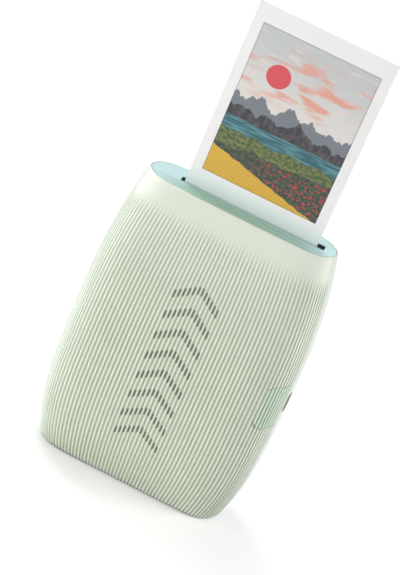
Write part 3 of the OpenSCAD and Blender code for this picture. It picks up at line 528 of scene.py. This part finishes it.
def shell_finish(name, color, mottle_and_groove_shade, crest_highlight, banded=False):
    """Satin moulded plastic with a fine grain and soft mottling, and painted light: painted shade
    in the grooves and on the foot, painted highlights on the narrow ribs by the sides, a painted
    grey sheen on the sides and a painted lighter upper front.
    """
    finish = Finish(name, color, 0.55, Specular_IOR_Level=0.15)
    rib, up, _ = finish.axes(finish.node("ShaderNodeTexCoord", output="UV"))
    place = finish.place()
    height = up * BODY_H
    off_groove = (rib - (rib + 0.5).floor()).abs()
    fading = 1.0 - height.soft(FADE_LOW, FADE_HIGH)
    outer = up > 0.0001
    shade = (1.0 - off_groove.soft(*SHADE_LINE)) * fading * outer
    # painted light: the upper front turns paler from well below the fade, beyond the smooth band's
    # own tone
    band_and_top_light = height.soft(*TOP_LIGHT_RISE) * outer
    tone = finish.mix(band_and_top_light, color, SMOOTH_BAND_AND_TOP_LIGHT)
    from_edge = RIBS_PER_HALF / 2 - (rib - RIBS_PER_HALF / 2).abs()
    narrow = 1.0 - from_edge.soft(*NARROW_RIBS)
    # painted highlight: the narrow ribs by the sides are lightened
    tone = finish.mix(narrow * outer, tone, crest_highlight)
    # painted grey sheen on the smooth sides, as they look at a grazing angle
    beside = (1.0 - from_edge.soft(*SIDE_RIBS)) * outer
    tone = finish.mix(beside, tone, SIDE_SHEEN_COLOR)
    # painted shade: the grooves take a darker tone, darker still on the narrow ribs by the sides
    groove_shade = shade * from_edge.soft(*SIDE_FADE) * (narrow * (1.0 - WIDE_SHADE) + WIDE_SHADE)
    tone = finish.mix(groove_shade, tone, mottle_and_groove_shade)
    darker = tuple(NARROW_DARKER * c for c in mottle_and_groove_shade)
    tone = finish.mix(groove_shade * narrow * NARROW_SHADE, tone, darker)
    # painted shade on the rounded foot, standing for the shadow under the edge and the seam to the
    # base
    foot_shade = (1.0 - height.soft(*FOOT_LINE)) * outer
    tone = finish.mix(foot_shade * FOOT_SHADE_SHARE, tone, FOOT_SHADE_COLOR)
    mottle = finish.noise(place, 60.0, 3.0)
    tone = finish.mix(mottle.soft(*MOTTLE_STEP) * MOTTLE_SHARE, tone, mottle_and_groove_shade)
    if banded:
        index = (rib + 0.5).floor()
        chevron = (index - BAND_MIDDLE).abs() * BAND_STEP
        along = ((height + chevron) / BAND_PITCH).fract()
        dash = along.soft(*DASH_START) * (1.0 - along.soft(*DASH_END))
        inside = ((index - BAND_MIDDLE).abs() < BAND_HALF) * (height > BAND_LOW)
        inside = inside * (height < BAND_HIGH) * outer
        line = 1.0 - off_groove.soft(*DASH_LINE)
        tone = finish.mix(dash * line * inside * DASH_SHARE, tone, DASH_COLOR)
    finish.set("Base Color", tone)
    grain = finish.noise(place, 2600.0, 2.0)
    finish.set("Roughness", finish.noise(place, 300.0) * 0.10 + 0.50)
    finish.bump(grain, 0.00003, 0.5)
    return finish


def drifting(finish, place, color, darker):
    """Tone that drifts a little way from one colour to a darker one."""
    return finish.mix(finish.noise(place, DRIFT_SCALE, 3.0) * DRIFT_SHARE, color, darker)


def moulded(finish, place, roughness, grain, depth):
    """Gloss that varies about a middle value, over a fine spark-eroded grain."""
    gloss = finish.noise(place, GLOSS_SCALE) * GLOSS_SPREAD
    finish.set("Roughness", gloss + (roughness - GLOSS_SPREAD / 2))
    finish.bump(finish.noise(place, grain, 2.0), depth, 0.5)


def plastic_finish(name, color, roughness=0.45, grain=GRAIN_SCALE, depth=GRAIN_DEPTH):
    """Moulded plastic with a fine spark-eroded grain and a slight drift of tone."""
    finish = Finish(name, color, roughness)
    place = finish.place()
    darker = tuple(PLASTIC_DARKER * c for c in color)
    finish.set("Base Color", drifting(finish, place, color, darker))
    moulded(finish, place, roughness, grain, depth)
    return finish


def metal_finish(name, color, roughness=0.32, grain=(60.0, 60.0, 2600.0)):
    """Rolled or turned metal: fine lines along one direction, in tone, gloss and height."""
    finish = Finish(name, color, roughness, Metallic=1.0)
    place = finish.place()
    stretched = finish.node("ShaderNodeVectorMath", (place, grain), operation="MULTIPLY")
    lines = finish.noise(stretched, 1.0, 3.0)
    darker = tuple(0.72 * c for c in color)
    finish.set("Base Color", finish.mix(lines * 0.5, color, darker))
    finish.set("Roughness", lines * 0.22 + (roughness - 0.08))
    finish.bump(lines, 0.00002, 0.4)
    return finish


def panel_finish(name):
    """Aqua moulded panel, with a painted shadow of the print, greened as a painted reflection of
    the shells, on the lip between the print and the front rim.
    """
    finish = Finish(name, AQUA, AQUA_ROUGH)
    place = finish.place()
    x, y, _ = finish.axes(place)
    tone = drifting(finish, place, AQUA, AQUA_DEEP)
    # painted shadow of the print on the lip in front of it, tinted green as a painted reflection of
    # the shells
    lip = 1.0 - (y / MM).soft(*PRINT_SHADOW_DEPTH)
    lip = lip * (1.0 - (x / MM).abs().soft(*PRINT_SHADOW_WIDTH))
    finish.set("Base Color", finish.mix(lip * PRINT_SHADOW_SHARE, tone, PRINT_SHADOW_COLOR))
    moulded(finish, place, AQUA_ROUGH, GRAIN_SCALE, GRAIN_DEPTH)
    return finish


def board_finish(name):
    """Green solder mask over a grid of fine copper tracks, with small pads."""
    finish = Finish(name, (26, 92, 56), 0.30, Coat_Weight=0.4)
    place = finish.place()
    x, _, z = finish.axes(place)
    tracks = ((x * TRACKS_PER_M).fract() - 0.5).abs().soft(0.32, 0.38)
    gates = finish.noise(place, 220.0, 0.0).soft(0.48, 0.52)
    rows = ((z * ROWS_PER_M).fract() - 0.5).abs().soft(0.34, 0.40)
    pads = finish.node("ShaderNodeTexVoronoi", {"Vector": place, "Scale": 420.0})
    copper = tracks * gates + rows * (1.0 - gates)
    tone = finish.mix(copper * 0.45, (20, 84, 50), (60, 138, 84))
    tone = finish.mix(1.0 - pads.soft(0.10, 0.14), tone, (214, 190, 128))
    finish.set("Base Color", tone)
    finish.set("Roughness", copper * 0.12 + 0.26)
    finish.bump(copper, 0.00003, 0.5)
    return finish


def felt_finish(name, color):
    """Matted fibres: fine rough noise in tone and height, almost no gloss."""
    finish = Finish(name, color, 0.95, Specular_IOR_Level=0.15, Sheen_Weight=0.4)
    place = finish.place()
    fibres = finish.noise(place, 5000.0, 4.0, 0.7)
    finish.set("Base Color", finish.mix(fibres, color, tuple(min(255, c + 26) for c in color)))
    finish.bump(fibres, 0.00008, 0.8)
    return finish


def paper_finish(name, node):
    """Coated film sheet: near white in front with a painted cool cast of light bounced from the
    aqua panel by the slot, and a matt dark back.

    The back is charcoal inside a white edge; on it a seam crosses above the wider lower border.
    """
    finish = Finish(name, (250, 249, 247), 0.34, Coat_Weight=0.8)
    place = finish.place()
    x, y, z = (axis / MM for axis in finish.axes(place))
    low, high = (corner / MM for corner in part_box(node))
    tone = finish.mix(finish.noise(place, 25.0) * 0.5, (254, 253, 252), (250, 249, 248))
    low_border = 1.0 - z.soft(BODY_H, PICTURE_Z + 3.0)
    # painted light: the lower border by the slot takes a cool cast, as of light bounced from the
    # aqua panel
    tone = finish.mix(low_border * 0.8, tone, (238, 252, 250))
    wide, tall = (high.x - low.x) / 2 - BACK_EDGE, (high.z - low.z) / 2 - BACK_EDGE
    inside = 1.0 - (x - (high.x + low.x) / 2).abs().soft(wide - 0.1, wide + 0.1)
    inside = inside * (1.0 - (z - (high.z + low.z) / 2).abs().soft(tall - 0.1, tall + 0.1))
    back = (y > high.y - BACK_SKIN) * inside
    seam = 1.0 - (z - (low.z + BACK_SEAM)).abs().soft(0.15, 0.35)
    charcoal = finish.mix(finish.noise(place, 160.0, 3.0), (50, 51, 54), (40, 41, 44))
    charcoal = finish.mix(seam * 0.7, charcoal, (24, 24, 26))
    finish.set("Base Color", finish.mix(back, tone, charcoal))
    finish.set("Roughness", finish.noise(place, 500.0) * 0.08 + (back * 0.25 + 0.30))
    finish.bump(finish.noise(place, 1500.0), 0.000008, 0.4)
    return finish


def clear_finish(name, color, alpha):
    """Thin clear or smoked plastic."""
    finish = Finish(name, color, 0.08, Alpha=alpha, IOR=1.49)
    place = finish.place()
    finish.set("Roughness", finish.noise(place, 200.0) * 0.06 + 0.04)
    finish.bump(finish.noise(place, 150.0), 0.00001, 0.2)
    return finish


def landscape_finish(name):
    """Printed landscape: coral clouds over a grey sky, a low sun, ridges, a lake, hills and fields.

    Each layer is a height line over the picture's width, laid over the layer behind it.
    """
    finish = Finish(name, (190, 190, 188), 0.25, Coat_Weight=0.5)
    place = finish.place()
    x_m, _, z_m = finish.axes(place)
    x = x_m / MM - (PRINT_X - PICTURE_W / 2)
    z = z_m / MM - PICTURE_Z

    def patch(x_scale, z_scale, shift, detail):
        spot = finish.node("ShaderNodeCombineXYZ", (x * x_scale, z * z_scale, shift))
        return finish.noise(spot, 1.0, detail)

    def height_line(scale, shift, detail, rise, height, slope):
        """Noise along the width alone, from about -1 to 1, times the rise, on a sloping base."""
        spot = finish.node("ShaderNodeCombineXYZ", (x * scale, shift, 0.0))
        wander = finish.noise(spot, 1.0, detail) * 4.0 - 2.0
        return wander * rise + height + x * slope

    def under(line, blur=0.25):
        """1 below a height line, 0 above it."""
        return 1.0 - (z - line).soft(-blur, blur)

    tone = finish.mix(z.soft(*SKY_FADE), *SKY)
    for spread, step, low_fade, high_fade, share, color in HAZES:
        haze = patch(*spread).soft(*step) * z.soft(*low_fade) * (1.0 - z.soft(*high_fade))
        tone = finish.mix(haze * share, tone, color)
    away = ((x - SUN_X).power(2.0) + (z - SUN_Z).power(2.0)).sqrt()
    tone = finish.mix(1.0 - away.soft(SUN_R - SUN_BLUR, SUN_R + SUN_BLUR), tone, SUN)
    for line, (spread, step, dark, light) in LAYERS:
        edge = height_line(*line)
        tone = finish.mix(under(edge), tone, finish.mix(patch(*spread).soft(*step), dark, light))
    # the last edge is the bank's, and the blooms stand on it
    spot = finish.node("ShaderNodeCombineXYZ", (x * BLOOM_SCALES[0], z * BLOOM_SCALES[1], 0.0))
    blooms = 1.0 - finish.node("ShaderNodeTexVoronoi",
                               {"Vector": spot, "Scale": 1.0}).soft(*BLOOM_EDGE)
    blooms = blooms * under(edge - BLOOM_UNDER) * x.soft(*BLOOM_FROM)
    tone = finish.mix(blooms, tone, BLOOM)
    along = (x * FURROW_SCALES[0] + z * FURROW_SCALES[1]).fract()
    furrow = (along - 0.5).abs().soft(*FURROW_EDGE)
    crop = finish.mix(furrow * FURROW_SHARE, *CROP)
    tone = finish.mix(under(height_line(*FIELD_LINE)), tone, crop)
    beside, above = (
        1.0 - (axis - size / 2).abs().soft(size / 2 - EDGE_SHADOW_IN, size / 2 - EDGE_SHADOW_OUT)
        for axis, size in ((x, PICTURE_W), (z, PICTURE_H)))
    # painted shadow line round the picture's edge
    tone = finish.mix((1.0 - beside * above) * EDGE_SHADOW_SHARE, tone, EDGE_SHADOW_COLOR)
    finish.set("Base Color", tone)
    finish.set("Roughness", finish.noise(place, 500.0) * 0.08 + 0.20)
    finish.bump(finish.noise(place, 1500.0), 0.000006, 0.3)
    return finish


# ---------------------------------------------------------------- the room

def make_lamp(name, place, size, power):
    """Square soft box at a place in metres, facing the printer."""
    data = bpy.data.lights.new(name, "AREA")
    data.shape, data.size, data.energy = "SQUARE", size, power
    lamp = bpy.data.objects.new(name, data)
    lamp.location = place
    lamp.rotation_euler = (Vector(LAMP_AIM) - Vector(place)).to_track_quat("-Z", "Y").to_euler()
    bpy.context.scene.collection.objects.link(lamp)


def seen_directly(tree):
    """1 for rays from the camera, also by way of gloss or glass, and 0 for the light's own."""
    rays = tree.nodes.new("ShaderNodeLightPath")
    seen = rays.outputs["Is Camera Ray"]
    for other in ("Is Glossy Ray", "Is Transmission Ray"):
        both = tree.nodes.new("ShaderNodeMath")
        both.operation = "MAXIMUM"
        tree.links.new(seen, both.inputs[0])
        tree.links.new(rays.outputs[other], both.inputs[1])
        seen = both.outputs[0]
    return seen


def make_room():
    """White floor and world; soft boxes stand in front, beside, behind and above."""
    scene = bpy.context.scene
    scene.view_settings.view_transform = "Standard"
    world = bpy.data.worlds.new("studio")
    scene.world = world
    world.use_nodes = True
    tree = world.node_tree
    tree.nodes.clear()
    output = tree.nodes.new("ShaderNodeOutputWorld")
    soft, white = tree.nodes.new("ShaderNodeBackground"), tree.nodes.new("ShaderNodeBackground")
    for sky, strength in ((soft, WORLD_LIGHT), (white, 1.0)):
        sky.inputs["Color"].default_value = (1.0, 1.0, 1.0, 1.0)
        sky.inputs["Strength"].default_value = strength
    mix = tree.nodes.new("ShaderNodeMixShader")
    tree.links.new(seen_directly(tree), mix.inputs[0])
    tree.links.new(soft.outputs[0], mix.inputs[1])
    tree.links.new(white.outputs[0], mix.inputs[2])
    tree.links.new(mix.outputs[0], output.inputs[0])

    for lamp in LAMPS:
        make_lamp(*lamp)

    floor_mesh = bpy.data.meshes.new("floor")
    corners = rectangle(-FLOOR_REACH, FLOOR_REACH, -FLOOR_REACH, FLOOR_REACH)
    floor_mesh.from_pydata([(x, y, 0) for x, y in corners], [], [(0, 1, 2, 3)])
    floor = bpy.data.objects.new("floor", floor_mesh)
    scene.collection.objects.link(floor)
    finish = bpy.data.materials.new("floor")
    finish.use_nodes = True
    tree = finish.node_tree
    shader = tree.nodes["Principled BSDF"]
    shader.inputs["Base Color"].default_value = (*[FLOOR_GREY] * 3, 1.0)
    shader.inputs["Roughness"].default_value = 0.9
    shader.inputs["Specular IOR Level"].default_value = 0.1
    # the floor is lifted to white less beside the printer, where its shadow lies
    place = tree.nodes.new("ShaderNodeTexCoord").outputs["Object"]
    away, share = tree.nodes.new("ShaderNodeVectorMath"), tree.nodes.new("ShaderNodeMapRange")
    away.operation, share.interpolation_type = "LENGTH", "SMOOTHSTEP"
    tree.links.new(place, away.inputs[0])
    tree.links.new(away.outputs["Value"], share.inputs[0])
    for socket, value in zip(list(share.inputs)[1:5], (*LIFT_REACH, LIFT_BESIDE, 1.0)):
        socket.default_value = value
    seen = tree.nodes.new("ShaderNodeMath")
    seen.operation = "MULTIPLY"
    tree.links.new(share.outputs[0], seen.inputs[0])
    tree.links.new(seen_directly(tree), seen.inputs[1])
    lift, dark = tree.nodes.new("ShaderNodeEmission"), tree.nodes.new("ShaderNodeEmission")
    lift.inputs["Strength"].default_value = FLOOR_LIFT
    dark.inputs["Strength"].default_value = 0.0
    choose, add = tree.nodes.new("ShaderNodeMixShader"), tree.nodes.new("ShaderNodeAddShader")
    tree.links.new(seen.outputs[0], choose.inputs[0])
    tree.links.new(dark.outputs[0], choose.inputs[1])
    tree.links.new(lift.outputs[0], choose.inputs[2])
    tree.links.new(shader.outputs[0], add.inputs[0])
    tree.links.new(choose.outputs[0], add.inputs[1])
    tree.links.new(add.outputs[0], tree.nodes["Material Output"].inputs[0])
    floor_mesh.materials.append(finish)


# ---------------------------------------------------------------- building the printer

def key_prism(gap):
    """Prism that runs out through the front right corner, turned 45 degrees about the vertical.

    Its outline is a rectangle whose two corners towards the front are quarter circles.
    """
    t = np.linspace(0, pi / 2, KEY_ARC)
    low = np.column_stack([-np.cos(t), -np.sin(t)]) * (KEY_CORNER + gap)
    high = low[::-1] * (1, -1)
    end = KEY_U + KEY_W + gap
    u, z = np.vstack([low + (KEY_U + KEY_CORNER, KEY_Z + KEY_CORNER),
                      [(end, KEY_Z - gap), (end, KEY_Z + KEY_H + gap)],
                      high + (KEY_U + KEY_CORNER, KEY_Z + KEY_H - KEY_CORNER)]).T
    tool = cutter(np.column_stack([u, z]), *KEY_RUN, "y")
    tool.data.transform(Matrix.Rotation(radians(45), 4, "Z") @ Matrix.Diagonal((1, -1, 1, 1)))
    fix_normals(tool.data)
    return tool


def make_front(finish):
    slit = stadium(USB_Z, USB_Y, USB_W, USB_D)[:, ::-1]
    front = ribbed_half("front_cover", -1, finish, "housing")
    carve(front, [key_prism(KEY_GAP), cutter(slit, *SLIT_RUN, "x")])
    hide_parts("front_shell")


def make_key(finish):
    key = ribbed_half("power_key", -1, finish, "key")
    carve(key, [key_prism(0.0)], "INTERSECT")
    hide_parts("power_button")


def door_prism(gap, low, high):
    outline = rectangle(-DOOR_HALF_W - gap, DOOR_HALF_W + gap, low, high)
    return cutter(outline, *REAR_RUN, "y")


def tube(name, x0, x1, y, z, outer, inner, finish, body, axis="x"):
    """Straight ring between two radii, with its axis along x or y."""
    rim = TUBE_ROUND
    profile = [(inner, 0.0), (outer - rim, 0.0), (outer, rim), (outer, x1 - x0 - rim),
               (outer - rim, x1 - x0), (inner, x1 - x0)]
    order, n = {"x": (2, 0, 1), "y": (0, 2, 1)}[axis], ROUND
    rows = [np.column_stack([circle(y, z, r), np.full(n, x0 + h)])[:, order]
            for r, h in profile]
    faces = grid_faces(len(rows), n, closed=True)
    last = (len(rows) - 1) * n
    faces += [[last + i, last + (i + 1) % n, (i + 1) % n, i] for i in range(n)]
    piece = new_piece(name, np.vstack(rows), faces, finish, body)
    fix_normals(piece.data)
    return piece


def block(name, x0, x1, y0, y1, z0, z1, finish, body, round_off=BLOCK_ROUND):
    """Box with rounded edges."""
    points, faces = prism(rectangle(x0, x1, y0, y1), z0, z1)
    piece = new_piece(name, points, faces, finish, body, smooth=False)
    fix_normals(piece.data)
    bevel = piece.modifiers.new("edges", "BEVEL")
    bevel.width, bevel.segments = round_off * MM, 2
    return piece


def make_rear(finish):
    rear = ribbed_half("rear_cover", 1, finish, "housing")
    holes = [cutter(circle(side * x, z, SCREW_HOLE_R), *REAR_RUN, "y")
             for side in (-1, 1) for x, z, _ in SCREWS]
    carve(rear, [door_prism(COVER_GAP, OPENING_Z, DOOR_TOP + COVER_GAP), *holes])
    pieces = [rear]
    for side, tag in ((-1, "left"), (1, "right")):
        for (x, z, reach), level in zip(SCREWS, ("low", "high")):
            pieces.append(tube(f"rear_boss_{tag}_{level}", 0.0, reach, side * x, z, BOSS_R,
                               SCREW_HOLE_R, finish, "housing", "y"))
        x0, x1 = sorted((side * BRACKET_X, side * (BRACKET_X + BRACKET_W)))
        pieces.append(block(f"hinge_bracket_{tag}", x0, x1, HINGE_Y - KNUCKLE_R,
                            HINGE_Y + BRACKET_PAST[0], BRACKET_LOW, HINGE_Z + BRACKET_PAST[1],
                            finish, "housing"))
    for piece in pieces:
        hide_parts("rear_shell")


def make_door(finish):
    door = ribbed_half("film_door_skin", 1, finish, "film_door")
    carve(door, [door_prism(0.0, DOOR_Z, DOOR_TOP)], "INTERSECT")
    middle, half = BRACKET_X + BRACKET_W / 2, BRACKET_W / 2 + BRACKET_ROOM
    brackets = [cutter(rectangle(side * middle - half, side * middle + half,
                                 0.0, HINGE_Z + BRACKET_ROOM_UP), *REAR_RUN, "y")
                for side in (-1, 1)]
    window = cutter(rectangle(-VIEW_HALF_W, VIEW_HALF_W, VIEW_LOW, VIEW_HIGH), *REAR_RUN, "y")
    thumb = cutter(rectangle(-THUMB_HALF_W, THUMB_HALF_W, THUMB_LOW - FIT,
                             THUMB_HIGH + LATCH_TRAVEL + FIT), *REAR_RUN, "y")
    carve(door, [*brackets, window, thumb])
    pieces = [door]
    for side, tag in ((-1, "left"), (1, "right")):
        x0, x1 = sorted((side * EAR_X, side * (EAR_X + EAR_W)))
        pieces.append(tube(f"door_ear_{tag}", x0, x1, HINGE_Y, HINGE_Z, KNUCKLE_R,
                           HINGE_R + EAR_SLACK, finish, "film_door"))
        x0, x1 = sorted((side * RAIL_X, side * RAIL_OUT))
        pieces.append(block(f"latch_rail_{tag}", x0, x1, LATCH_Y - RAIL_T, RAIL_BACK,
                            RAIL_LOW, RAIL_HIGH, finish, "film_door"))
        x0, x1 = sorted((side * LIP_X, side * RAIL_OUT))
        pieces.append(block(f"latch_lip_{tag}", x0, x1, LATCH_Y - RAIL_T, LATCH_Y - FIT,
                            RAIL_LOW, RAIL_HIGH, finish, "film_door", LIP_ROUND))
    for piece in pieces:
        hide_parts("film_door")


def make_pack_trim(finish):
    """Wear pads under the leaf springs and a block of grip lines, proud of the pack's back."""
    low, high = (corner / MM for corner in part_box("film_pack"))
    middle_x, middle_z, back = (low.x + high.x) / 2, (low.z + high.z) / 2, high.y
    for side, tag in ((-1, "left"), (1, "right")):
        x = side * SPRING_X
        block(f"pack_pad_{tag}", x - PAD_HALF_W, x + PAD_HALF_W, back - TRIM_IN, back + PAD_PROUD,
              middle_z - PAD_HALF_H, middle_z + PAD_HALF_H,
              finish, "housing", PAD_ROUND)
    for line in range(GRIP_LINES):
        z = high.z - GRIP_TOP - line * GRIP_PITCH
        block(f"pack_grip_{line + 1}", middle_x - GRIP_HALF_W, middle_x + GRIP_HALF_W,
              back - TRIM_IN, back + GRIP_PROUD, z - GRIP_W, z,
              finish, "housing", GRIP_ROUND)


def dress(finishes):
    """Give every CAD node its finish."""
    for node, finish in finishes.items():
        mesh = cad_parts[node].data
        mesh.materials.clear()
        mesh.materials.append(finish.material)


# ---------------------------------------------------------------- the whole printer

make_camera()
make_room()

plain_shell = shell_finish("shell", *SHELL_TONES)
banded_shell = shell_finish("front_shell", *SHELL_TONES, banded=True)
key_shell = shell_finish("power_key", *KEY_TONES)
make_front(banded_shell)
make_key(key_shell)
make_rear(plain_shell)
make_door(plain_shell)

sheet_steel = metal_finish("sheet_steel", (186, 188, 192), 0.34)
turned_steel = metal_finish("turned_steel", (178, 180, 184), 0.26, (2400.0, 60.0, 60.0))
bronze = metal_finish("bronze", (196, 160, 98), 0.38, (400.0, 400.0, 400.0))
black = plastic_finish("black_plastic", (28, 29, 31), 0.5)
chips = plastic_finish("chip_black", (22, 22, 24), 0.4, 3200.0)
gears = plastic_finish("gear_plastic", (236, 233, 222), 0.38)
aqua = panel_finish("aqua_panel")
base = plastic_finish("base_plastic", (206, 216, 196), 0.5)
board = board_finish("circuit_board")
pack_black = plastic_finish("pack_black", (34, 34, 37), 0.48, 900.0, 0.00004)
make_pack_trim(pack_black)
dress({
    "top_panel": aqua,
    "slot_liner": black,
    "exit_seal": felt_finish("slot_felt", (10, 10, 11)),
    "base_panel": base,
    "chassis": sheet_steel,
    "gear_plate": sheet_steel,
    "roller_plate": sheet_steel,
    "roller_bushes": bronze,
    "gear_posts": turned_steel,
    "print_head": black,
    "head_lens": clear_finish("head_lens", (214, 228, 232), 0.55),
    "head_ribbon": plastic_finish("flex_amber", (206, 130, 52), 0.3),
    "main_board": board,
    "board_chips": chips,
    "battery": metal_finish("battery_foil", (206, 208, 212), 0.42, (260.0, 260.0, 260.0)),
    "battery_leads": plastic_finish("lead_red", (176, 34, 34), 0.45),
    # the port is near black: its own dark insert, darkened further as painted shade in the slit's
    # mouth
    "usb_port": metal_finish("dark_port_and_slit_shade", (36, 37, 40), 0.44),
    "key_bracket": black,
    "switch_board": board,
    "power_switch": chips,
    "motor": sheet_steel,
    "film_pack": pack_black,
    "film_stack": paper_finish("stack_paper", "film_stack"),
    "shell_screws": turned_steel,
    "chassis_screws": turned_steel,
    "board_screws": turned_steel,
    "hinge_pins": turned_steel,
    "pack_window": clear_finish("smoked_window", (96, 74, 40), 0.75),
    "pack_springs": sheet_steel,
    "door_latch": black,
    "print_sheet": paper_finish("print_paper", "print_sheet"),
    "print_picture": landscape_finish("landscape"),
    "drive_shaft": turned_steel,
    "pinch_shaft": turned_steel,
    "drive_roller": plastic_finish("roller_rubber", (46, 46, 48), 0.75, 2600.0, 0.00004),
    "pinch_roller": plastic_finish("pinch_rubber", (52, 50, 50), 0.75, 2600.0, 0.00004),
    "drive_gear": gears,
    "drive_sync_gear": gears,
    "pinch_sync_gear": gears,
    "upper_idler": gears,
    "lower_idler": gears,
    "motor_pinion": turned_steel,
    "pick_claw": gears,
})
